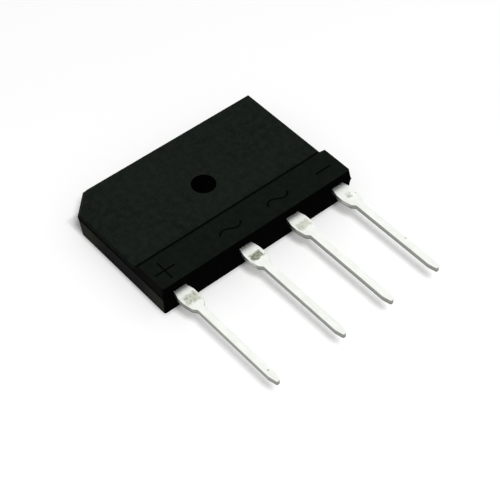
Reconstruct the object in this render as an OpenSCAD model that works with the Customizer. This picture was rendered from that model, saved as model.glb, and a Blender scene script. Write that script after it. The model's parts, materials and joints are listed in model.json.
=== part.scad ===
// Single in-line bridge rectifier for one mounting screw.
// Four silicon chips are soldered between copper lead frames and clips, and
// moulded into a thin epoxy plate with a thicker band along its lead face.
//
// Frame: the origin is the centre of the screw hole on the back face, +Z points
// out of the front, and the leads run towards -Y. The positive lead is at -X.

/* [Case] */
// Width of the case at its parting line
case_w = 30; // [28.5:0.1:36]
// Length of the case, from the lead face to the rear face
case_l = 20; // [19.5:0.1:26]
// Thickness of the plate that the screw goes through
plate_h = 3.6; // [3.5:0.1:4.2]
// Thickness of the raised band along the lead face
band_h = 4.6; // [4.3:0.1:6]
// Length of the band's flat top
band_l = 4.9; // [3.5:0.1:6.5]
// Run of the slope from the band's top down to the plate
slope_run = 0.8; // [0.3:0.05:1.5]
// Cut across the rear corner that marks the positive side
corner_cut = 3; // [1.5:0.1:4]
// How far the walls lean in between the parting line and the back face
base_inset = 0.3; // [0.1:0.05:0.6]
// How far the walls lean in between the parting line and the plate's top
plate_inset = 0.36; // [0.1:0.02:0.6]
// How far the walls lean in between the parting line and the band's top
band_inset = 0.26; // [0.1:0.02:0.5]
// Radius of the upright corners where they are sharpest
corner_r = 0.25; // [0.15:0.05:0.8]

/* [Screw hole] */
// Diameter of the screw hole
hole_d = 3.2; // [2.5:0.1:4]
// Distance from the lead face to the hole's centre
hole_from_face = 11; // [10.5:0.1:13]

/* [Leads] */
// Distance from the positive lead to the left AC lead
plus_pitch = 10; // [9:0.1:11]
// Distance from the left AC lead to the right AC lead
ac_pitch = 7.5; // [7:0.1:8.5]
// Distance from the right AC lead to the negative lead
minus_pitch = 7.5; // [7:0.1:8.5]
// Height of the leads' underside above the back face
lead_z = 2.7; // [2.4:0.05:2.9]
// Thickness of the lead frame sheet
sheet_t = 0.7; // [0.5:0.05:0.9]
// Length of a lead outside the case
lead_l = 17.4; // [10:0.1:20]
// Width of a lead where it leaves the case
exit_w = 1.9; // [1.4:0.1:2.2]
// Width of the root where it is widest
root_w = 2.4; // [2.2:0.1:2.8]
// Length over which the root widens outside the case
flare_l = 1.1; // [0.6:0.1:1.6]
// Length of the root's widest stretch
wide_l = 1; // [0.5:0.1:1.4]
// Distance from the case to the root's shoulder
root_l = 3.4; // [3.2:0.1:4.5]
// Width of the root at its shoulder
shoulder_w = 1.85; // [1.6:0.05:2.1]
// Length of the shoulder between the root and the pin
shoulder_l = 0.45; // [0.3:0.05:1.2]
// Radius that eases the shallow bends in a lead's sides
ease_r = 1.5; // [0.5:0.1:2]
// Width of the pin
pin_w = 1; // [0.8:0.05:1.2]
// Length of the pin's tapered tip
tip_l = 1.15; // [0.5:0.05:1.6]
// Width of the tip's blunt end
tip_w = 0.46; // [0.4:0.02:0.7]
// Radius of the tip's corners
tip_r = 0.2; // [0.05:0.01:0.2]

/* [Inside the case] */
// Height of the chip islands above the back face
island_z = 0.7; // [0.4:0.05:0.9]
// Straight length of a lead just inside the lead face
anchor_l = 1; // [0.5:0.1:1.5]
// Run of the sloped length that drops to the island
drop_run = 2; // [1.4:0.1:2.6]
// Inside radius of the bends
bend_r = 0.3; // [0.15:0.05:0.5]
// Epoxy left between copper and the case's outer walls
rim = 1; // [0.7:0.1:1.3]
// Epoxy left between two islands
island_gap = 1.2; // [0.8:0.1:1.6]
// Epoxy left between the screw hole and copper
hole_rim = 1.4; // [1:0.1:1.8]
// Radius of the corners cut in copper sheet
copper_r = 0.3; // [0.1:0.05:0.5]
// Side of a square chip
chip_w = 3.2; // [2.4:0.1:3.6]
// Thickness of a chip
chip_t = 0.3; // [0.2:0.05:0.45]
// Slope of a chip's etched edge, measured in plan
chip_edge = 0.15; // [0.05:0.05:0.3]
// Side of the square contact on top of a chip
contact_w = 2.2; // [1.6:0.1:2.4]
// Thickness of a solder joint
solder_t = 0.1; // [0.05:0.01:0.15]
// How far the solder under a chip spreads past its edges
solder_spread = 0.15; // [0:0.05:0.3]
// Copper left around a chip or a clip's foot
land = 0.4; // [0.3:0.05:0.6]
// Thickness of the clips
clip_t = 0.4; // [0.25:0.05:0.5]
// Width of the clips
clip_w = 2.4; // [2:0.1:2.8]
// Length of the foot by which a clip is soldered to an island
foot_l = 1.8; // [1.2:0.1:2.4]

/* [Hidden] */
$fn = 48;
// How far a cutting shape reaches past what it cuts
over = 1;
// Segments in a rounded corner of an outline
arc_steps = 5;

// The case's outline and its levels
front_y = -hole_from_face;
rear_y = front_y + case_l;
hole_r = hole_d / 2;
part_z = lead_z + sheet_t / 2;
corner_ridge_r = corner_r + max(base_inset, plate_inset, band_inset);

// Lead positions, with the row centred on the case
row_w = plus_pitch + ac_pitch + minus_pitch;
plus_x = -row_w / 2;
ac_left_x = plus_x + plus_pitch;
ac_right_x = ac_left_x + ac_pitch;
minus_x = row_w / 2;

// The drop from the leads to the islands
drop_y1 = front_y + anchor_l;
drop_y2 = drop_y1 + drop_run;
drop_angle = atan2(lead_z - island_z, drop_run);
flat_y = drop_y2 + (sheet_t + bend_r) * tan(drop_angle / 2);

// The islands, from the gaps that part them
bar_w = chip_w + 2 * land;
bar_y = rear_y - rim - bar_w / 2;
island_y2 = bar_y - bar_w / 2 - island_gap;
left_x1 = plus_x + exit_w / 2 + island_gap;
left_x2 = -hole_r - hole_rim;
right_x1 = hole_r + hole_rim;
right_x2 = minus_x - exit_w / 2 - island_gap;

// The chips stand in two rows, one pair on the rear bar and one in front
left_x = (left_x1 + left_x2) / 2;
right_x = (right_x1 + right_x2) / 2;
front_chip_y = flat_y + land + chip_w / 2;
strap_end_y = front_chip_y + clip_w / 2 + land;

// Heights of the stack on an island
island_top = island_z + sheet_t;
chip_z = island_top + solder_t;
chip_top = chip_z + chip_t;
clip_z = chip_top + solder_t;

// ---- Outlines ----

// Unit vector along v
function unit(v) = v / norm(v);

// Points of the arc of radius r that rounds the corner b between a and c
function round_corner(a, b, c, r) =
    let (
        u = unit(a - b),
        v = unit(c - b),
        half = acos(u * v) / 2,
        centre = b + unit(u + v) * r / sin(half),
        from = b + u * r / tan(half) - centre,
        to = b + v * r / tan(half) - centre,
        start = atan2(from.y, from.x),
        sweep = (180 - 2 * half) * sign(from.x * to.y - from.y * to.x)
    )
    [for (i = [0:arc_steps]) let (t = start + sweep * i / arc_steps) centre + r * [cos(t), sin(t)]];

// Outline through corners given as [x, y, radius]
function rounded(corners) =
    let (n = len(corners), at = function (i) let (p = corners[(i + n) % n]) [p.x, p.y])
    [for (i = [0:n - 1])
        each corners[i].z > 0 ? round_corner(at(i - 1), at(i), at(i + 1), corners[i].z) : [at(i)]];

// Side view of sheet of thickness t that runs flat at z1, drops between s1 and s2, then runs flat at z2
function joggled(s0, s1, s2, s3, z1, z2, t) =
    let (
        shift = t * tan(atan2(z1 - z2, abs(s2 - s1)) / 2) * sign(s2 - s1),
        outside_r = bend_r + t
    )
    rounded([
        [s0, z1, 0], [s1, z1, bend_r], [s2, z2, outside_r], [s3, z2, 0],
        [s3, z2 + t, 0], [s2 + shift, z2 + t, bend_r], [s1 + shift, z1 + t, outside_r], [s0, z1 + t, 0]
    ]);

// Extrudes a side view drawn in Y and Z across X, from x1 to x2
module along_x(x1, x2) {
    translate([x1, 0, 0])
        rotate([90, 0, 90])
            linear_extrude(x2 - x1) children();
}

// Extrudes a side view drawn in X and Z across Y, from y1 to y2
module along_y(y1, y2) {
    translate([0, y2, 0])
        rotate([90, 0, 0])
            linear_extrude(y2 - y1) children();
}

// Rectangle from its corners, with rounded corners
module sheet_rect(x1, x2, y1, y2) {
    polygon(rounded([
        [x1, y1, copper_r], [x2, y1, copper_r], [x2, y2, copper_r], [x1, y2, copper_r]
    ]));
}

// ---- Case ----

// Block of the case's outline whose walls are set in by in1 at z1 and by in2 at z2
module drafted_block(z1, z2, in1, in2) {
    half_w = case_w / 2;
    inner_x = half_w - corner_ridge_r;
    along_y(front_y + corner_ridge_r, rear_y - corner_ridge_r)
        polygon([[in1 - half_w, z1], [half_w - in1, z1], [half_w - in2, z2], [in2 - half_w, z2]]);
    along_x(-inner_x, inner_x)
        polygon([[front_y + in1, z1], [rear_y - in1, z1], [rear_y - in2, z2], [front_y + in2, z2]]);
    for (x = [-inner_x, inner_x], y = [front_y + corner_ridge_r, rear_y - corner_ridge_r])
        translate([x, y, z1])
            cylinder(h = z2 - z1, r1 = corner_ridge_r - in1, r2 = corner_ridge_r - in2);
}

// Everything in front of the slope that ends the band
module band_zone() {
    foot_y = front_y + band_l + slope_run;
    rise = band_h - plate_h;
    along_x(-case_w, case_w)
        polygon([
            [front_y - over, part_z], [foot_y, part_z], [foot_y, plate_h],
            [foot_y - slope_run * (rise + over) / rise, band_h + over], [front_y - over, band_h + over]
        ]);
}

// Everything inside the wall across the cut corner, which leans as the other walls do
module corner_zone() {
    depth = case_w + case_l;
    translate([corner_cut - case_w / 2, rear_y, 0])
        rotate([0, 0, 45])
            along_x(-depth, depth)
                polygon([
                    [-base_inset, 0], [0, part_z], [-plate_inset, plate_h],
                    [-plate_inset, band_h + over], [-depth, band_h + over], [-depth, 0]
                ]);
}

module case_outside() {
    intersection() {
        union() {
            drafted_block(0, part_z, base_inset, 0);
            drafted_block(part_z, plate_h, 0, plate_inset);
            intersection() {
                drafted_block(part_z, band_h, 0, band_inset);
                band_zone();
            }
        }
        corner_zone();
    }
}

module moulded_case() {
    color([0.11, 0.12, 0.11])
        difference() {
            case_outside();
            translate([0, 0, -over]) cylinder(h = plate_h + 2 * over, r = hole_r);
            copper_sheet();
            soldered_parts();
        }
}

// ---- Lead frames ----

// Plan of a lead, from its tip to the depth end_y inside the case
module lead_plan(x, end_y) {
    side = [
        [tip_w / 2, front_y - lead_l, tip_r],
        [pin_w / 2, front_y - lead_l + tip_l, ease_r],
        [pin_w / 2, front_y - root_l - shoulder_l, shoulder_l / 2],
        [shoulder_w / 2, front_y - root_l, shoulder_l / 2],
        [root_w / 2, front_y - flare_l - wide_l, ease_r],
        [root_w / 2, front_y - flare_l, ease_r],
        [exit_w / 2, front_y, 0],
        [exit_w / 2, end_y, copper_r]
    ];
    last = len(side) - 1;
    left = [for (i = [last:-1:0]) [-side[i].x, side[i].y, side[i].z]];
    translate([x, 0]) polygon(rounded(concat(side, left)));
}

// Lead frame of the shape that the children draw in plan
module lead_frame() {
    color([0.82, 0.82, 0.80])
        intersection() {
            along_x(-case_w / 2, case_w / 2)
                polygon(joggled(front_y - lead_l - over, drop_y1, drop_y2, rear_y, lead_z, island_z, sheet_t));
            linear_extrude(band_h) children();
        }
}

module lead_positive() {
    bar_x1 = plus_x - exit_w / 2;
    bar_x2 = right_x + bar_w / 2;
    bar_y2 = bar_y + bar_w / 2;
    // Keeps the bar's corner as far from the cut corner as from the other walls
    bevel = max(corner_cut + rim * sqrt(2) - (bar_x1 + case_w / 2) - rim, copper_r);
    lead_frame() {
        lead_plan(plus_x, bar_y);
        polygon(rounded([
            [bar_x1, bar_y - bar_w / 2, 0], [bar_x2, bar_y - bar_w / 2, copper_r],
            [bar_x2, bar_y2, copper_r], [bar_x1 + bevel, bar_y2, 0], [bar_x1, bar_y2 - bevel, 0]
        ]));
    }
}

module lead_ac_left() {
    lead_frame() {
        lead_plan(ac_left_x, strap_end_y);
        sheet_rect(left_x1, left_x2, flat_y, island_y2);
    }
}

module lead_ac_right() {
    lead_frame() {
        lead_plan(ac_right_x, strap_end_y);
        sheet_rect(right_x1, right_x2, flat_y, island_y2);
    }
}

module lead_negative() {
    lead_frame() lead_plan(minus_x, strap_end_y);
}

module copper_sheet() {
    lead_positive();
    lead_ac_left();
    lead_ac_right();
    lead_negative();
}

// ---- Chips, clips and solder ----

// Square chip with an etched edge, its larger contact face down
module chip(x, y) {
    low = chip_w / 2;
    high = low - chip_edge;
    side = [[-low, chip_z], [low, chip_z], [high, chip_top], [-high, chip_top]];
    color([0.30, 0.33, 0.38])
        translate([x, y, 0])
            intersection() {
                along_x(-chip_w, chip_w) polygon(side);
                along_y(-chip_w, chip_w) polygon(side);
            }
}

// Square solder joint of the given side and height
module solder(x, y, w, z) {
    color([0.62, 0.63, 0.65])
        translate([x, y, z + solder_t / 2]) cube([w, w, solder_t], center = true);
}

module base_solder(x, y) {
    solder(x, y, chip_w + 2 * solder_spread, island_top);
}

module top_solder(x, y) {
    solder(x, y, contact_w, chip_top);
}

// Clip from a rear chip down to the island in front of it
module rear_clip(x) {
    color([0.72, 0.45, 0.30])
        along_x(x - clip_w / 2, x + clip_w / 2)
            polygon(joggled(
                bar_y + clip_w / 2, bar_y - bar_w / 2, island_y2, island_y2 - land - foot_l,
                clip_z, chip_z, clip_t
            ));
}

module clip_foot_solder(x) {
    color([0.62, 0.63, 0.65])
        translate([x - clip_w / 2, island_y2 - land - foot_l, island_top])
            cube([clip_w, foot_l, solder_t]);
}

// Strap across both front chips, with its foot on the negative lead
module negative_strap() {
    color([0.72, 0.45, 0.30])
        along_y(front_chip_y - clip_w / 2, front_chip_y + clip_w / 2)
            polygon(joggled(
                left_x - clip_w / 2, right_x2, minus_x - exit_w / 2, minus_x + foot_l / 2,
                clip_z, chip_z, clip_t
            ));
}

module foot_solder_strap() {
    color([0.62, 0.63, 0.65])
        translate([minus_x - foot_l / 2, front_chip_y - clip_w / 2, island_top])
            cube([foot_l, clip_w, solder_t]);
}

module soldered_parts() {
    for (x = [left_x, right_x]) {
        for (y = [bar_y, front_chip_y]) {
            base_solder(x, y);
            chip(x, y);
            top_solder(x, y);
        }
        rear_clip(x);
        clip_foot_solder(x);
    }
    negative_strap();
    foot_solder_strap();
}

// ---- Nodes ----

moulded_case();
lead_positive();
lead_ac_left();
lead_ac_right();
lead_negative();
chip(left_x, bar_y);  // chip_rear_left
chip(right_x, bar_y);  // chip_rear_right
chip(left_x, front_chip_y);  // chip_front_left
chip(right_x, front_chip_y);  // chip_front_right
rear_clip(left_x);  // clip_left
rear_clip(right_x);  // clip_right
negative_strap();
base_solder(left_x, bar_y);  // base_solder_rear_left
base_solder(right_x, bar_y);  // base_solder_rear_right
base_solder(left_x, front_chip_y);  // base_solder_front_left
base_solder(right_x, front_chip_y);  // base_solder_front_right
top_solder(left_x, bar_y);  // top_solder_rear_left
top_solder(right_x, bar_y);  // top_solder_rear_right
top_solder(left_x, front_chip_y);  // top_solder_front_left
top_solder(right_x, front_chip_y);  // top_solder_front_right
clip_foot_solder(left_x);  // foot_solder_left
clip_foot_solder(right_x);  // foot_solder_right
foot_solder_strap();
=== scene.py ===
# %% [markdown]
# # A bridge rectifier, dressed over its CAD frame
#
# The object is a single in-line bridge rectifier: a thin black epoxy plate with a thicker
# band along one side, one hole for a mounting screw, and four flat tinned leads in a row.
# The CAD model already holds every piece at its real size. This lesson adds what CAD leaves
# out: softened edges, the fine ridge where the two halves of the mould met, the signs cut
# into the band, and a finish for every piece that comes from how that piece was made.

# %% Load the frame
import json
import math

import bmesh
import bpy
from mathutils import Matrix, Vector


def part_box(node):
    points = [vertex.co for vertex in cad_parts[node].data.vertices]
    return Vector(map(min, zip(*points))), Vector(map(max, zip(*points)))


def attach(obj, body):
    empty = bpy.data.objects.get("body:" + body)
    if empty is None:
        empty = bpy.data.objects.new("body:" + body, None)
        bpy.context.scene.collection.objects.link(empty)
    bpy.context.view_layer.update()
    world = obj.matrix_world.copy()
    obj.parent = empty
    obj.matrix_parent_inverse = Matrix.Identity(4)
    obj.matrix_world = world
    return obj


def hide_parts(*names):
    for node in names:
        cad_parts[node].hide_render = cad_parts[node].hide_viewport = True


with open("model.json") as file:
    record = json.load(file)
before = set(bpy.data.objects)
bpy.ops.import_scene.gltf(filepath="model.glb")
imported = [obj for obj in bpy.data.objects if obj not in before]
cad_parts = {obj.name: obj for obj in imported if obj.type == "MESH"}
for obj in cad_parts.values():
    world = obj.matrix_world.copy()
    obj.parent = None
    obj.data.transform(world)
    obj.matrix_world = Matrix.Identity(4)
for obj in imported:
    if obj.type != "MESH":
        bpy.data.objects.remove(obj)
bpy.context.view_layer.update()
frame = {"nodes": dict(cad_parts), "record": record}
print("nodes:", len(frame["nodes"]))

# %% [markdown]
# Blender counts in metres, while a part this small is thought of in millimetres. All sizes
# below are therefore written in millimetres, and one short function turns them to metres
# where a Blender call wants them. A piece is modelled in millimetres and scaled once, when
# its mesh is finished.

# %% Units
MM = 0.001


def metres(*values):
    return Vector([value * MM for value in values])


case_low, case_high = [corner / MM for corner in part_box("moulded_case")]
print("case, mm:", [round(v, 2) for v in case_low], [round(v, 2) for v in case_high])

# %% [markdown]
# The case is a plate with a thicker band along the lead side, and a slope between the two.
# Its walls lean in above and below the line where the two halves of the mould met. The
# outer sizes are read from the frame, and the inner ones repeat the CAD model's, because
# the frame gives a piece's box but not its steps. The signs stand in one row along the
# band, behind the face that the leads come out of.

# %% Sizes of the case
SIGN_FROM_FRONT = 2.45
case_w = case_high.x - case_low.x
case_l = case_high.y - case_low.y
front_y = case_low.y
rear_y = case_high.y
band_h = case_high.z
plate_h = 3.6
part_z = 3.05
band_l = 4.9
slope_run = 0.8
corner_cut = 3
base_inset = 0.3
plate_inset = 0.36
band_inset = 0.26
hole_r = 1.6
ridge_out = 0.04
ridge_h = 0.06
top_y = front_y + band_l
foot_y = top_y + slope_run
sign_y = front_y + SIGN_FROM_FRONT
print("case:", round(case_w, 2), "x", round(case_l, 2), "x", round(band_h, 2), "mm")

# %% [markdown]
# ## The camera
#
# The camera stands in front of the leads, to the left, and looks down at about fifty
# degrees. A long lens from some way off keeps the plate's sides nearly parallel. It is given
# by what it looks at, two angles, a distance and a small roll, because those are easier to
# read and to change than a matrix.

# %% Camera
AIM = metres(-1.77, -10.94, 2)
AZIMUTH = math.radians(40.25)
ELEVATION = math.radians(49.3)
ROLL = math.radians(-0.32)
DISTANCE = 165.7 * MM
SENSOR = 36
LENS = 99
NEAREST_SEEN = 10 * MM

camera_data = bpy.data.cameras.new("camera")
camera_data.sensor_width = SENSOR
camera_data.lens = LENS
camera_data.clip_start = NEAREST_SEEN
camera = bpy.data.objects.new("camera", camera_data)
bpy.context.collection.objects.link(camera)
bpy.context.scene.camera = camera

away = Vector((
    -math.sin(AZIMUTH) * math.cos(ELEVATION),
    -math.cos(AZIMUTH) * math.cos(ELEVATION),
    math.sin(ELEVATION),
))
turn = away.to_track_quat("Z", "Y").to_matrix().to_4x4() @ Matrix.Rotation(ROLL, 4, "Z")
camera.matrix_world = Matrix.Translation(AIM + away * DISTANCE) @ turn
print("camera at, mm:", [round(v / MM, 1) for v in camera.matrix_world.translation])

# %% [markdown]
# ## Colours and nodes
#
# Colours are picked as sRGB hex values, as they are on a screen, and one function turns
# them to the linear values that shaders work in. Another small function adds a node. It
# takes the node's inputs by name, or as a list in the node's own order, and an input is
# either a plain value or the output of another node, which is then linked. It hands back
# one output, so that a chain of nodes reads like a calculation. Materials could be built by
# hand in the node editor too, but in code every size in them keeps its name.
#
# Two settings come back often. A soft threshold eases in and out of a mask. Noise in four
# dimensions has one more input, W, which stays at zero here: another value would give
# another pattern of the same kind.

# %% Helpers for materials
SOFT = {"interpolation_type": "SMOOTHSTEP"}
IN_4D = {"noise_dimensions": "4D"}


def colour(hex_value):
    channels = [int(hex_value[i : i + 2], 16) / 255 for i in (1, 3, 5)]
    line = [c / 12.92 if c <= 0.04045 else ((c + 0.055) / 1.055) ** 2.4 for c in channels]
    return (*line, 1)


def add(tree, kind, inputs=(), output=0, **settings):
    """Adds a node and returns one of its outputs, or the node where it has none."""
    node = tree.nodes.new("ShaderNode" + kind)
    for name, value in settings.items():
        setattr(node, name, value)
    chosen = inputs.items() if isinstance(inputs, dict) else enumerate(inputs)
    for name, value in chosen:
        if isinstance(value, bpy.types.NodeSocket):
            tree.links.new(value, node.inputs[name])
        else:
            node.inputs[name].default_value = value
    return node.outputs[output] if node.outputs else node


def new_material(name):
    material = bpy.data.materials.new(name)
    material.use_nodes = True
    tree = material.node_tree
    tree.nodes.clear()
    place = add(tree, "TexCoord", output="Object")
    return material, tree, place


def per_mm(size):
    """Scale of a texture whose features are size millimetres across."""
    return 1 / (size * MM)


print("white in linear light:", colour("#FFFFFF"))

# %% [markdown]
# Every finish below is built in the same way: a base colour, with other colours laid over
# it through masks. A mask is one where its colour shows and zero elsewhere, and it comes
# from a noise, from the way a face points, or from a box around a place on the part. A
# painted image wrapped round the part could carry the same marks, but it would have to be
# drawn and unwrapped, while a mask in millimetres stays sharp and is changed by a number.

# %% Masks and layers
def paint(tree, base, *layers):
    """Lays colours over a base colour, each through its own mask."""
    for mask, tint in layers:
        base = add(tree, "Mix", {0: mask, 6: base, 7: tint}, output=2, data_type="RGBA")
    return base


def overlap(tree, *masks):
    """One only where every mask is one."""
    shared = masks[0]
    for mask in masks[1:]:
        shared = add(tree, "Math", [shared, mask], operation="MULTIPLY")
    return shared


def facing_up(tree, low, high):
    """One on level faces, up or down, and zero on walls that are steeper than low says."""
    normal = add(tree, "NewGeometry", output="True Normal")
    upward = add(tree, "SeparateXYZ", [normal], output="Z")
    size = add(tree, "Math", [upward], operation="ABSOLUTE")
    return add(tree, "MapRange", [size, low, high], **SOFT)


def box_mask(tree, place, low, high, soft):
    """One inside the box between two corners, zero outside it, with a soft edge."""
    centre = [(a + b) / 2 for a, b in zip(low, high)]
    from_centre = add(tree, "VectorMath", [place, metres(*centre)], operation="SUBTRACT")
    distance = add(tree, "VectorMath", [from_centre], operation="ABSOLUTE")
    sides = []
    for part, a, b in zip(add(tree, "SeparateXYZ", [distance]).node.outputs, low, high):
        inner = ((b - a) / 2 - soft) * MM
        outer = ((b - a) / 2 + soft) * MM
        sides.append(add(tree, "MapRange", [part, inner, outer, 1, 0], **SOFT))
    return overlap(tree, *sides)


print("masks: paint, overlap, facing_up, box_mask")

# %% [markdown]
# ## Finishes
#
# The case is a moulding compound: epoxy resin packed with fine silica and blackened with
# carbon. The mould's walls are eroded by sparks, which leaves an even, matt grain of about
# a tenth of a millimetre, so the surface is nearly black with a weak, wide shine, and very
# slightly green. The grain is drawn a little coarser than it is, so that it shows.
#
# The walls, the step at the foot of the band and the grooves of the signs are painted
# blacker than the level faces: this is painted shade. The low ends of the side walls are
# painted greyer, a painted reflection of the bright floor. Each of these places gets its
# own mask, and the finish is put together from them afterwards.

# %% Places on the case
# Where the lower side walls get a painted reflection of the bright floor:
REFLECTION_FROM = 3
REFLECTION_TO = 7
REFLECTION_UP_TO = 0.8 * part_z
BESIDE_RIDGE = 0.1
# How far the painted shade at the foot of the step reaches out onto the plate:
FOOT_SHADE = 0.24
STEP_SKIN = 0.02
GROOVE_SKIN = 0.03
GROOVE_REACH = 2
SIDE_MARGIN = 0.5
MASK_EDGE = 0.01


def painted_floor_reflection(tree, place):
    """One low on the side walls, towards their ends, where a reflection of the floor is painted.
    """
    middle_y = (front_y + rear_y - corner_cut) / 2
    spot = add(tree, "SeparateXYZ", [place]).node.outputs
    from_middle = add(tree, "Math", [spot["Y"], middle_y * MM], operation="SUBTRACT")
    reach = add(tree, "Math", [from_middle], operation="ABSOLUTE")
    normal = add(tree, "NewGeometry", output="True Normal")
    across = add(tree, "SeparateXYZ", [normal], output="X")
    sideways = add(tree, "Math", [across], operation="ABSOLUTE")
    return overlap(
        tree,
        add(tree, "MapRange", [reach, REFLECTION_FROM * MM, REFLECTION_TO * MM], **SOFT),
        add(tree, "MapRange", [sideways, 0.8, 0.95], **SOFT),
        add(tree, "MapRange", [spot["Z"], REFLECTION_UP_TO * MM, part_z * MM, 1, 0.1], **SOFT),
    )


def moulded_faces(tree, place):
    """One on the plate, the band and the back; zero on the walls and the parting ridge, which keep
    the painted shade.
    """
    height = add(tree, "SeparateXYZ", [place], output="Z")
    from_parting = add(tree, "Math", [height, part_z * MM], operation="SUBTRACT")
    distance = add(tree, "Math", [from_parting], operation="ABSOLUTE")
    off_ridge = [distance, BESIDE_RIDGE * MM, 2 * BESIDE_RIDGE * MM]
    return overlap(tree, facing_up(tree, 0.25, 0.7), add(tree, "MapRange", off_ridge, **SOFT))


def painted_shade_in_cuts(tree, place):
    """One in the step at the band's foot and in the grooves of the signs, where shade is painted.
    """
    step = box_mask(
        tree, place, (-case_w, top_y, plate_h - STEP_SKIN),
        (case_w, foot_y + FOOT_SHADE, band_h - STEP_SKIN), MASK_EDGE,
    )
    grooves = box_mask(
        tree, place, (SIDE_MARGIN - case_w / 2, sign_y - GROOVE_REACH, (plate_h + band_h) / 2),
        (case_w / 2 - SIDE_MARGIN, sign_y + GROOVE_REACH, band_h - GROOVE_SKIN), MASK_EDGE,
    )
    return add(tree, "Math", [step, grooves], operation="MAXIMUM")


print("painted floor reflection begins", REFLECTION_FROM, "mm from the middle of a side")

# %% [markdown]
# The colour is built from large to small: a faint cloud where the resin flowed, a mottle
# of filler, the grain, and a few bare grains of silica as pale specks. A bump from the same
# grain breaks up the shine. Epoxy this matt has nearly no mirror-like part, so the specular
# level is close to zero, and the wall at the gate, where the resin came in, is the roughest.
#
# A plain black plastic would be quicker, but it looks like a hole in the render. What
# makes the case read as epoxy is this unevenness, which is weak and has several sizes.

# %% Black epoxy moulding compound
FLOW_MARK = 6
MOTTLE = 0.9
SPARK_GRAIN = 0.14
SPARK_DEPTH = 0.02
SPECK_SPACING = 2.2
BAND_FADE = 0.2


def epoxy_moulding_compound(name):
    material, tree, place = new_material(name)
    flow = add(tree, "TexNoise", {
        "Vector": place, "Scale": per_mm(FLOW_MARK), "Detail": 3, "Roughness": 0.6,
    }, **IN_4D)
    mottle = add(tree, "TexNoise", {
        "Vector": place, "Scale": per_mm(MOTTLE), "Detail": 4, "Roughness": 0.65,
    }, **IN_4D)
    grain = add(tree, "TexNoise", {
        "Vector": place, "Scale": per_mm(SPARK_GRAIN), "Detail": 3, "Roughness": 0.6,
    }, **IN_4D)
    speck = add(tree, "TexVoronoi", {"Vector": place, "Scale": per_mm(SPECK_SPACING)})
    height = add(tree, "SeparateXYZ", [place], output="Z")
    band_z = (plate_h + band_h) / 2
    on_band = [height, (band_z - BAND_FADE) * MM, band_z * MM, 0, 0.5]
    faces = paint(
        tree, colour("#0F1410"),
        (add(tree, "MapRange", [flow, 0.35, 0.65], **SOFT), colour("#141915")),
        (add(tree, "MapRange", [mottle, 0.38, 0.66], **SOFT), colour("#1B201B")),
        (add(tree, "MapRange", [grain, 0.35, 0.8], **SOFT), colour("#1F2420")),
        (add(tree, "MapRange", on_band, **SOFT), colour("#0A0E0B")),
    )
    # Near-black base is painted shade on the walls; then a painted floor reflection, the faces'
    # own colour, painted shade in the cuts, and specks.
    whole = paint(
        tree, colour("#030403"),
        (painted_floor_reflection(tree, place), colour("#201F19")),
        (moulded_faces(tree, place), faces),
        (painted_shade_in_cuts(tree, place), colour("#040704")),
        (add(tree, "MapRange", [speck, 0.025, 0.045, 1, 0], **SOFT), colour("#2C302C")),
    )
    normal = add(tree, "NewGeometry", output="True Normal")
    forward = add(tree, "SeparateXYZ", [normal], output="Y")
    at_gate = add(tree, "MapRange", [forward, -0.9, -0.6, 0.55, 0], **SOFT)
    grainy = add(tree, "MapRange", [grain, 0.3, 0.7, 0.4, 0.5], **SOFT)
    surface = add(tree, "BsdfPrincipled", {
        "Base Color": whole,
        "Roughness": add(tree, "Math", [grainy, at_gate], operation="ADD"),
        "Specular IOR Level": 0.005,
        "Normal": add(tree, "Bump", {
            "Strength": 0.25, "Distance": SPARK_DEPTH * MM, "Height": grain,
        }),
    })
    add(tree, "OutputMaterial", [surface])
    return material


epoxy = epoxy_moulding_compound("black_epoxy_moulding_compound")
print("material:", epoxy.name, "with", len(epoxy.node_tree.nodes), "nodes")

# %% [markdown]
# The leads are copper sheet, stamped out and then plated with tin. Tin is a soft, pale grey
# metal with a satin shine, so the shader is a metal of middling roughness. Rolling leaves
# lines along each lead. They are only microns apart, and are drawn as coarse as they need
# to be to show. The punch shears the upper part of a cut edge and tears the lower part,
# which stays duller; its darker colour is also painted shade under the edge. Handling
# leaves a few small nicks.
#
# On each wide root lies a dull patch where the clip of a test machine has rubbed the
# plating. It could be modelled as a dent, but it has no depth to speak of, so it is a mask:
# a soft box whose place is shifted by a noise, which makes its outline ragged.

# %% Cut edges and rubbed patches
LEAD_T = 0.7
ROOT_L = 3.4
ROOT_FADE = 0.5
RAGGED = 0.45
RAGGED_BY = 1.1
PATCH_FADE = 0.22
lead_top_z = part_z + LEAD_T / 2
lead_low_z = part_z - LEAD_T / 2


def cut_edge(tree, place, root_edge_shading):
    """Colour of a lead's punched edge: painted light and shade at the root, and a lower part that
    is torn and painted darker.
    """
    spot = add(tree, "SeparateXYZ", [place]).node.outputs
    root_y = front_y - ROOT_L
    # The root's edge colour, set lead by lead, is painted light and shade.
    on_root = add(tree, "MapRange", [spot["Y"], root_y * MM, (root_y + ROOT_FADE) * MM], **SOFT)
    # Darker towards the bottom of the edge: the duller torn zone, and painted shade under the
    # edge.
    below = [spot["Z"], lead_low_z * MM, (lead_top_z - LEAD_T / 3) * MM, 0.6, 0]
    return paint(
        tree, colour("#8F918A"),
        (on_root, colour(root_edge_shading)),
        (add(tree, "MapRange", below, **SOFT), colour("#5A5C56")),
    )


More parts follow.
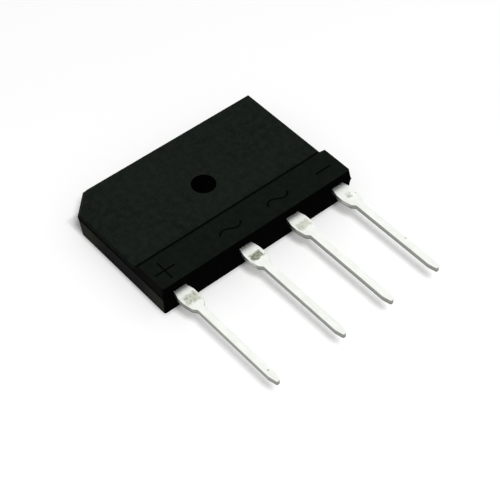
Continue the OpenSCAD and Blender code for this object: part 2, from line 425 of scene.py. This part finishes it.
def ragged_patch(tree, place, centre, half):
    """One inside a flat patch around centre, with a torn outline."""
    noise = add(tree, "TexNoise", {
        "Vector": place, "Scale": per_mm(RAGGED), "Detail": 4, "Roughness": 0.7,
    }, output="Color", **IN_4D)
    shift = add(tree, "VectorMath", [noise, (-0.5, -0.5, -0.5)], operation="ADD")
    by = metres(RAGGED_BY, RAGGED_BY, 0)
    bent = add(tree, "VectorMath", [shift, by, place], operation="MULTIPLY_ADD")
    low = [c - h for c, h in zip(centre, half)]
    high = [c + h for c, h in zip(centre, half)]
    return box_mask(tree, bent, low, high, PATCH_FADE)


print("leads between", round(lead_low_z, 2), "and", round(lead_top_z, 2), "mm above the back")

# %% [markdown]
# The finish puts the two together. The flat faces get the rolled tin, the cut edges their
# own colour, and the patch lies over both. A patch is first stained evenly and then scraped
# by marks of a noise: the share of it that is scraped sets the level above which a mark
# shows. The patches differ from lead to lead, so the function takes where the patch lies,
# how strongly it is stained and scraped, and the colour of the root's cut edge, which is
# painted light and shade and is lighter on some leads and darker on others.

# %% Tinned copper
ROLLING_LINE = 0.08
ROLLING_STRETCH = 0.04
ROLLING_DEPTH = 0.006
TIN_CLOUD = 1.5
SCRAPE = 0.55
SCRAPE_STRENGTH = 2.2
SCRAPE_LEVEL = 2.4
SCRAPE_COVER = 0.9
SCRAPE_FADE = 0.55
NICK_SPACING = 2.2


def tinned_copper(name, centre, half, stain, scrape, cover, root_edge_shading):
    """Tin with a stained patch, and dark scrapes over the share of it that cover says."""
    material, tree, place = new_material(name)
    along = add(tree, "Mapping", {"Vector": place, "Scale": (1, ROLLING_STRETCH, 1)})
    lines = add(tree, "TexNoise", {
        "Vector": along, "Scale": per_mm(ROLLING_LINE), "Detail": 2, "Roughness": 0.6,
    }, **IN_4D)
    cloud = add(tree, "TexNoise", {
        "Vector": place, "Scale": per_mm(TIN_CLOUD), "Detail": 3, "Roughness": 0.6,
    }, **IN_4D)
    rolled = paint(
        tree, colour("#FBFDF9"),
        (add(tree, "MapRange", [cloud, 0.35, 0.65], **SOFT), colour("#F4F6F0")),
        (add(tree, "MapRange", [lines, 0.5, 0.8, 0, 0.5], **SOFT), colour("#D6D8CF")),
    )
    patch = ragged_patch(tree, place, centre, half)
    marks = add(tree, "TexNoise", {
        "Vector": place, "Scale": per_mm(SCRAPE), "Detail": 4, "Roughness": 0.65,
        "Distortion": 2.5,
    }, **IN_4D)
    rubbed = add(tree, "Math", [marks, SCRAPE_STRENGTH, patch], operation="MULTIPLY_ADD")
    level = SCRAPE_LEVEL - SCRAPE_COVER * cover
    scraped = [rubbed, level, level + SCRAPE_FADE, 0, scrape]
    nick = add(tree, "TexVoronoi", {"Vector": place, "Scale": per_mm(NICK_SPACING)})
    whole = paint(
        tree, cut_edge(tree, place, root_edge_shading),
        (facing_up(tree, 0.45, 0.97), rolled),
        (add(tree, "MapRange", [nick, 0.04, 0.07, 0.6, 0], **SOFT), colour("#6C6F63")),
        (add(tree, "Math", [patch, stain], operation="MULTIPLY"), colour("#B0B695")),
        (add(tree, "MapRange", scraped, **SOFT), colour("#5E6353")),
    )
    surface = add(tree, "BsdfPrincipled", {
        "Base Color": whole,
        "Metallic": 1,
        "Roughness": add(tree, "MapRange", [patch, 0, 1, 0.36, 0.5], **SOFT),
        "Normal": add(tree, "Bump", {
            "Strength": 0.3, "Distance": ROLLING_DEPTH * MM, "Height": lines,
        }),
    })
    add(tree, "OutputMaterial", [surface])
    return material


print("rolling lines:", ROLLING_LINE, "mm apart, patches with a fade of", PATCH_FADE, "mm")

# %% [markdown]
# The pieces sealed inside the epoxy are finished as well, because a cutaway or an exploded
# view shows them. The clips and the strap are bare copper strip. Copper tarnishes from the
# day it is rolled, so one noise darkens it in clouds, and dulls it in the same places.

# %% Rolled copper
TARNISH = 0.8


def rolled_copper(name):
    material, tree, place = new_material(name)
    tarnish = add(tree, "TexNoise", {
        "Vector": place, "Scale": per_mm(TARNISH), "Detail": 4, "Roughness": 0.6,
    }, **IN_4D)
    dull = add(tree, "MapRange", [tarnish, 0.4, 0.65], **SOFT)
    surface = add(tree, "BsdfPrincipled", {
        "Base Color": paint(tree, colour("#D08A66"), (dull, colour("#A5654A"))),
        "Metallic": 1,
        "Roughness": add(tree, "MapRange", [tarnish, 0.3, 0.7, 0.28, 0.42], **SOFT),
    })
    add(tree, "OutputMaterial", [surface])
    return material


copper = rolled_copper("rolled_copper_strip")
print("material:", copper.name)

# %% [markdown]
# The chips are silicon, which is grey, glossy and half like a metal. The wafer's back is
# ground thin before it is cut up, and the grinding leaves straight lines. They are far too
# fine to show, so they are drawn coarser. A noise that is stretched along one direction
# gives them, because a wave texture would be too even.

# %% Ground silicon
GRINDING_LINE = 0.05
GRINDING_STRETCH = 0.05


def ground_silicon(name):
    material, tree, place = new_material(name)
    along = add(tree, "Mapping", {"Vector": place, "Scale": (GRINDING_STRETCH, 1, 1)})
    lines = add(tree, "TexNoise", {
        "Vector": along, "Scale": per_mm(GRINDING_LINE), "Detail": 2, "Roughness": 0.6,
    }, **IN_4D)
    ground = add(tree, "MapRange", [lines, 0.3, 0.7], **SOFT)
    surface = add(tree, "BsdfPrincipled", {
        "Base Color": paint(tree, colour("#5B626E"), (ground, colour("#7A828E"))),
        "Metallic": 0.8,
        "Roughness": 0.25,
    })
    add(tree, "OutputMaterial", [surface])
    return material


silicon = ground_silicon("ground_silicon")
print("material:", silicon.name)

# %% [markdown]
# The solder is a lead and tin alloy. It froze from many points at once, which leaves a
# skin of small, dull crystals. A Voronoi texture grows its cells from scattered points in
# just that way, so it gives both the colour and the bump.

# %% Frozen solder
CRYSTAL = 0.15
CRYSTAL_DEPTH = 0.01


def frozen_solder(name):
    material, tree, place = new_material(name)
    crystal = add(tree, "TexVoronoi", {"Vector": place, "Scale": per_mm(CRYSTAL)})
    edges = add(tree, "MapRange", [crystal, 0, 0.8], **SOFT)
    surface = add(tree, "BsdfPrincipled", {
        "Base Color": paint(tree, colour("#B9BBBD"), (edges, colour("#96989B"))),
        "Metallic": 1,
        "Roughness": 0.45,
        "Normal": add(tree, "Bump", {
            "Strength": 0.4, "Distance": CRYSTAL_DEPTH * MM, "Height": crystal,
        }),
    })
    add(tree, "OutputMaterial", [surface])
    return material


solder = frozen_solder("frozen_solder")
print("material:", solder.name)

# %% [markdown]
# ## The case
#
# The case is moulded between two halves that meet at the middle of the leads' thickness.
# Its walls lean in from that line, up and down, so that it leaves the mould, and a hair-thin
# ridge of epoxy stays where the halves met. A scaled copy of the outline could make the
# leaning walls, but scaling moves a far wall more than a near one, and they have to lean
# alike. The shape is therefore built outwards from the parting line: the outline is
# extruded by the ridge's height, and each face is then inset and moved to its level.

# %% Blocks with leaning walls
def new_piece(name, bm, material):
    """Scales a mesh drawn in millimetres to metres and makes a piece of it."""
    bmesh.ops.scale(bm, vec=(MM, MM, MM), verts=bm.verts)
    mesh = bpy.data.meshes.new(name)
    bm.to_mesh(mesh)
    bm.free()
    mesh.materials.append(material)
    piece = bpy.data.objects.new(name, mesh)
    bpy.context.collection.objects.link(piece)
    return piece


def lean_in(bm, face, inset, z):
    """Insets a level face and moves it to the level z, which leaves a leaning wall."""
    bmesh.ops.inset_region(bm, faces=[face], thickness=inset, use_even_offset=True)
    for vert in face.verts:
        vert.co.z = z


def leaning_block(outline, top_z, top_inset):
    """Solid with the outline at the parting line, and walls that lean in above and below."""
    bm = bmesh.new()
    lower = bm.faces.new([bm.verts.new((x, y, part_z - ridge_h / 2)) for x, y in outline])
    lower.normal_update()
    made = bmesh.ops.extrude_face_region(bm, geom=[lower], use_keep_orig=True)["geom"]
    upper = next(item for item in made if isinstance(item, bmesh.types.BMFace))
    for vert in upper.verts:
        vert.co.z = part_z + ridge_h / 2
    for face, inset, z in ((upper, top_inset, top_z), (lower, base_inset, 0)):
        lean_in(bm, face, ridge_out, face.verts[0].co.z)
        lean_in(bm, face, inset - ridge_out, z)
    bmesh.ops.recalc_face_normals(bm, faces=bm.faces)
    return bm


left = -case_w / 2
right = case_w / 2
plate_outline = [
    (left, front_y), (right, front_y), (right, rear_y), (left + corner_cut, rear_y),
    (left, rear_y - corner_cut),
]
band_outline = [(left, front_y), (right, front_y), (right, rear_y), (left, rear_y)]
plate_bm = leaning_block(plate_outline, plate_h, plate_inset)
band_bm = leaning_block(band_outline, band_h, band_inset)
print("plate faces:", len(plate_bm.faces), " band faces:", len(band_bm.faces))

# %% [markdown]
# The band ends in a short slope down to the plate, which lets the moulding leave its half
# of the mould. The block could be drawn with the slope from the start, but then its walls
# couldn't be inset as one. Cutting the taller block with a plane that leans as the slope
# does is simpler, and the hole that the cut leaves is filled.

# %% Cut the slope
slope_dir = Vector((0, -slope_run, band_h - plate_h))
slope_normal = Vector((0, slope_dir.z, -slope_dir.y)).normalized()
cut = bmesh.ops.bisect_plane(
    band_bm, geom=band_bm.verts[:] + band_bm.edges[:] + band_bm.faces[:],
    plane_co=(0, foot_y, plate_h), plane_no=slope_normal, clear_outer=True,
)["geom_cut"]
rim = [item for item in cut if isinstance(item, bmesh.types.BMEdge)]
bmesh.ops.edgeloop_fill(band_bm, edges=rim)
bmesh.ops.recalc_face_normals(band_bm, faces=band_bm.faces)
print("band faces after the cut:", len(band_bm.faces))

# %% [markdown]
# A Boolean joins the two blocks, and another drills the hole for the screw. The blocks
# could be joined face by face, but their leaning walls cross in lines that would have to
# be worked out, and a Boolean finds them by itself. The tools are deleted once the result
# is in the mesh.

# %% Join and drill
HOLE_STEPS = 96


def combine(piece, tool, operation):
    """Applies a Boolean to the piece and deletes the tool."""
    modifier = piece.modifiers.new(operation.lower(), "BOOLEAN")
    modifier.operation = operation
    modifier.solver = "EXACT"
    modifier.object = tool
    graph = bpy.context.evaluated_depsgraph_get()
    mesh = bpy.data.meshes.new_from_object(piece.evaluated_get(graph))
    piece.modifiers.clear()
    piece.data = mesh
    bpy.data.objects.remove(tool)


shell = new_piece("case_shell", plate_bm, epoxy)
combine(shell, new_piece("band", band_bm, epoxy), "UNION")
drill = bmesh.new()
bmesh.ops.create_cone(
    drill, cap_ends=True, segments=HOLE_STEPS, radius1=hole_r, radius2=hole_r, depth=4 * band_h
)
combine(shell, new_piece("drill", drill, epoxy), "DIFFERENCE")
print("joined case faces:", len(shell.data.polygons))

# %% [markdown]
# Nothing that comes out of a mould has a knife edge, but not all edges are equally soft.
# A plain bevel modifier would round all edges alike, so they are told apart by where they
# lie and which way they run: the upright corners, the step at the band, and the rims. The
# ridge along the parting line is in none of these groups and stays crisp.

# %% Tell the edges apart
SHARP = math.radians(30)
UPRIGHT = 0.8
NEAR = 0.01


def is_sharp(edge):
    return len(edge.link_faces) == 2 and edge.calc_face_angle(0) > SHARP


def on_ridge(edge):
    return all(abs(v.co.z - part_z) < ridge_h for v in edge.verts)


def on_slope(edge):
    return all(top_y - NEAR < v.co.y < foot_y + NEAR for v in edge.verts)


def upright_corner(edge):
    run = edge.verts[1].co - edge.verts[0].co
    return abs(run.z) > UPRIGHT * run.length


def band_step(edge):
    return on_slope(edge) and edge.is_convex


def moulded_rim(edge):
    return not (upright_corner(edge) or on_ridge(edge) or on_slope(edge))


print("groups:", [group.__name__ for group in (upright_corner, band_step, moulded_rim)])

# %% [markdown]
# Each group is bevelled on its own. The upright corners come first and get the largest
# radius, because the rims' bevel then runs round corners that are already soft. Before
# that, the Booleans' doubles are merged and flat areas are joined to single faces, since a
# bevel follows every edge it meets.

# %% Soften the edges
CORNER_R = 0.28
STEP_R = 0.02
EDGE_R = 0.1
FLAT = math.radians(0.5)
DOUBLES = 0.001

case_bm = bmesh.new()
case_bm.from_mesh(shell.data)
bpy.data.objects.remove(shell)
bmesh.ops.scale(case_bm, vec=(1 / MM, 1 / MM, 1 / MM), verts=case_bm.verts)
bmesh.ops.remove_doubles(case_bm, verts=case_bm.verts, dist=DOUBLES)
bmesh.ops.dissolve_limit(case_bm, angle_limit=FLAT, verts=case_bm.verts, edges=case_bm.edges)
softened = ((upright_corner, CORNER_R, 4), (band_step, STEP_R, 2), (moulded_rim, EDGE_R, 3))
for group, radius, segments in softened:
    edges = [edge for edge in case_bm.edges if is_sharp(edge) and group(edge)]
    bmesh.ops.bevel(
        case_bm, geom=edges, offset=radius, offset_type="OFFSET", segments=segments,
        profile=0.5, affect="EDGES", clamp_overlap=True, material=-1,
    )
    print(group.__name__, "edges softened:", len(edges))
bmesh.ops.recalc_face_normals(case_bm, faces=case_bm.faces)
case = new_piece("epoxy_case", case_bm, epoxy)

# %% [markdown]
# The terminals are named by signs cut into the band above the leads: plus, two waves for
# the alternating current, and minus. A font could give them, but they are plain lines of
# one width, so a few points make them. A wave is the curve of a cubic, which falls through
# the middle and turns back at both ends. The signs stand a touch to the left of their leads.

# %% Lines of the signs
SIGN_SHIFT = -0.3
PLUS_HALF = 1.45
MINUS_HALF = 1.25
WAVE_HALF = 1.8
WAVE_RISE = 1
WAVE_HOOK = 1.25
WAVE_STEPS = 32

terminals = {
    mount["name"]: mount["pos_m"][0] / MM
    for mount in frame["record"]["mounts"]
    if mount["name"].startswith("pin_")
}
print("terminals at x, mm:", terminals)


def stroke(x, dx, dy):
    """Ends of a straight line through the sign's middle."""
    middle = x + SIGN_SHIFT
    return [(middle - dx, sign_y - dy), (middle + dx, sign_y + dy)]


def wave(x):
    """Points of a wave through the sign's middle."""
    middle = x + SIGN_SHIFT
    points = []
    for i in range(WAVE_STEPS + 1):
        share = 2 * i / WAVE_STEPS - 1
        rise = WAVE_RISE * (WAVE_HOOK * share ** 3 - share)
        points.append((middle + WAVE_HALF * share, sign_y + rise))
    return points


signs = [
    stroke(terminals["pin_positive"], PLUS_HALF, 0),
    stroke(terminals["pin_positive"], 0, PLUS_HALF),
    wave(terminals["pin_ac_left"]),
    wave(terminals["pin_ac_right"]),
    stroke(terminals["pin_negative"], MINUS_HALF, 0),
]
print("sign lines:", len(signs))

# %% [markdown]
# The lines could be painted on with a mask, but a groove has real walls that stay dark from
# every side. Each one has a round bottom, so a curve with a round section becomes a tube
# along the line, and the tube, sunk into the surface, is cut from the case. The finished
# case then takes the place of its CAD node.

# %% Cut the grooves
GROOVE_R = 0.13
GROOVE_DEPTH = 0.1


def groove(points):
    """Tube along a line of points on top of the band, for cutting a groove."""
    line = bpy.data.curves.new("groove", "CURVE")
    line.dimensions = "3D"
    line.bevel_depth = GROOVE_R * MM
    line.bevel_resolution = 3
    line.use_fill_caps = True
    spline = line.splines.new("POLY")
    spline.points.add(len(points) - 1)
    for point, (x, y) in zip(spline.points, points):
        point.co = (*metres(x, y, band_h + GROOVE_R - GROOVE_DEPTH), 1)
    tube = bpy.data.objects.new("groove", line)
    bpy.context.collection.objects.link(tube)
    graph = bpy.context.evaluated_depsgraph_get()
    mesh = bpy.data.meshes.new_from_object(tube.evaluated_get(graph))
    bpy.data.objects.remove(tube)
    cutter = bpy.data.objects.new("groove", mesh)
    bpy.context.collection.objects.link(cutter)
    return cutter


for points in signs:
    combine(case, groove(points), "DIFFERENCE")
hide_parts("moulded_case")
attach(case, "root")
print("case triangles:", sum(len(p.vertices) - 2 for p in case.data.polygons))

# %% [markdown]
# ## The leads
#
# The CAD leads have the right outline, so they stay. Each one gets its finish, and a short
# stack of modifiers for the edges that stamping rounds over: the loose triangles are
# welded, flat areas are joined to single faces, and a bevel then runs along every edge.
# New leads could be drawn instead, but they would only repeat the CAD outline.
#
# The four patches differ as four clips of a test machine would leave them: the left one
# of the two alternating leads is scraped down to a dark grey, and the negative lead has
# only a spot.

# %% Finish the leads
LEAD_EDGE_R = 0.07
EDGE_ANGLE = math.radians(50)
PATCH_SKIN = 0.1
PATCH_FROM_CASE = 2
patch_y = front_y - PATCH_FROM_CASE
# Each lead's root edge colour is painted light and shade, lighter on some leads and darker on
# others.
patches = {
    "lead_positive": {
        "pin": "pin_positive", "half": (1, 0.7), "stain": 0.45, "scrape": 0.62, "cover": 0.55,
        "root_edge_shading": "#7C7E77",
    },
    "lead_ac_left": {
        "pin": "pin_ac_left", "half": (0.9, 0.56), "stain": 0.6, "scrape": 0.75, "cover": 0.85,
        "root_edge_shading": "#C6C8C1",
    },
    "lead_ac_right": {
        "pin": "pin_ac_right", "half": (0.95, 0.62), "stain": 0.4, "scrape": 0.38, "cover": 0.5,
        "root_edge_shading": "#9A9C95",
    },
    "lead_negative": {
        "pin": "pin_negative", "half": (0.42, 0.42), "stain": 0.2, "scrape": 0.6, "cover": 0.6,
        "root_edge_shading": "#B6B8B1",
    },
}
for node, wear in patches.items():
    lead = frame["nodes"][node]
    centre = (terminals[wear["pin"]], patch_y, lead_top_z)
    half = (*wear["half"], PATCH_FADE + PATCH_SKIN)
    tin = tinned_copper(
        "tinned_copper_" + node, centre, half,
        wear["stain"], wear["scrape"], wear["cover"], wear["root_edge_shading"],
    )
    lead.data.materials.clear()
    lead.data.materials.append(tin)
    weld = lead.modifiers.new("weld", "WELD")
    weld.merge_threshold = DOUBLES * MM
    join = lead.modifiers.new("join_flats", "DECIMATE")
    join.decimate_type = "DISSOLVE"
    join.angle_limit = FLAT
    soften = lead.modifiers.new("soften", "BEVEL")
    soften.width = LEAD_EDGE_R * MM
    soften.segments = 3
    soften.limit_method = "ANGLE"
    soften.angle_limit = EDGE_ANGLE
    print(node, "finished with", tin.name)

# %% [markdown]
# ## The sealed pieces
#
# Every other node is a plain plate, strip or pad, and the CAD shape is already the real
# one. Each takes the finish of its kind, which its name gives.

# %% Finish the sealed pieces
finishes = {
    "clip": copper,
    "negative_strap": copper,
    "chip": silicon,
    "base_solder": solder,
    "top_solder": solder,
    "foot_solder": solder,
}
for node, piece in frame["nodes"].items():
    for start, material in finishes.items():
        if node.startswith(start):
            piece.data.materials.clear()
            piece.data.materials.append(material)
            print(node, "->", material.name)

# %% [markdown]
# ## The floor
#
# A pale floor carries the part's soft shadow. It is lit like everything else, and for the
# camera and for reflections it also glows a little, which lifts it to white without
# putting more light on the part. A brighter lamp would whiten it too, but it would also
# bleach the black epoxy. The glow leaves out what the case covers, so that the floor seen
# down the screw hole is no brighter than its light. The floor lies a hair below the part,
# so that no two faces share one place.

# %% Floor
FLOOR_SIZE = 600
FLOOR_GAP = 0.02
FLOOR_GLOW = 0.17
SHADE_EDGE = 0.5
SHADE_H = 1


def seen_or_mirrored(tree):
    """One for rays that come from the camera, a reflection or glass, zero for others."""
    rays = add(tree, "LightPath").node.outputs
    either = add(tree, "Math", [rays["Is Camera Ray"], rays["Is Glossy Ray"]], operation="MAXIMUM")
    return add(tree, "Math", [either, rays["Is Transmission Ray"]], operation="MAXIMUM")


def pale_floor(name):
    material, tree, place = new_material(name)
    matt = add(tree, "BsdfDiffuse", {"Color": colour("#F0F0F0")})
    covered = box_mask(
        tree, place, (-case_w / 2, front_y, -SHADE_H), (case_w / 2, rear_y, SHADE_H), SHADE_EDGE
    )
    in_the_open = add(tree, "MapRange", [covered, 0, 1, FLOOR_GLOW, 0], **SOFT)
    glow = add(tree, "Emission", {
        "Color": (1, 1, 1, 1),
        "Strength": overlap(tree, seen_or_mirrored(tree), in_the_open),
    })
    surface = add(tree, "AddShader", [matt, glow])
    add(tree, "OutputMaterial", [surface])
    return material


floor_bm = bmesh.new()
bmesh.ops.create_grid(floor_bm, x_segments=1, y_segments=1, size=FLOOR_SIZE)
bmesh.ops.translate(floor_bm, verts=floor_bm.verts, vec=(0, 0, -FLOOR_GAP))
floor = new_piece("floor", floor_bm, pale_floor("pale_floor"))
print("floor:", FLOOR_SIZE * 2, "mm square")

# %% [markdown]
# ## The light
#
# The world is white where it is seen or mirrored, and dimmer as a source of light. One
# round lamp stands high in front of the leads, a little to the left, and gives the shadow
# its direction. It is hidden from reflections. The leads therefore mirror white from every
# side, as they would in a light tent, and no hard highlight of the lamp burns out on the
# tin.

# %% Light
WORLD_LIGHT = 0.5
LAMP_SIZE = 150
LAMP_AWAY = 500
LAMP_POWER = 1.4
LAMP_DIR = Vector((-0.15, -0.55, 1)).normalized()

world = bpy.data.worlds.new("studio")
bpy.context.scene.world = world
world.use_nodes = True
sky = world.node_tree
sky.nodes.clear()
backdrop = add(sky, "Background", {
    "Color": (1, 1, 1, 1),
    "Strength": add(sky, "MapRange", [seen_or_mirrored(sky), 0, 1, WORLD_LIGHT, 1], **SOFT),
})
add(sky, "OutputWorld", [backdrop])

lamp_data = bpy.data.lights.new("key", "AREA")
lamp_data.shape = "DISK"
lamp_data.size = LAMP_SIZE * MM
lamp_data.energy = LAMP_POWER
lamp = bpy.data.objects.new("key", lamp_data)
lamp.visible_glossy = False
bpy.context.collection.objects.link(lamp)
aim_lamp = LAMP_DIR.to_track_quat("Z", "Y").to_matrix().to_4x4()
lamp.matrix_world = Matrix.Translation(LAMP_DIR * LAMP_AWAY * MM) @ aim_lamp
bpy.context.scene.view_settings.view_transform = "Standard"
print("lamp at, mm:", [round(v / MM) for v in lamp.location])
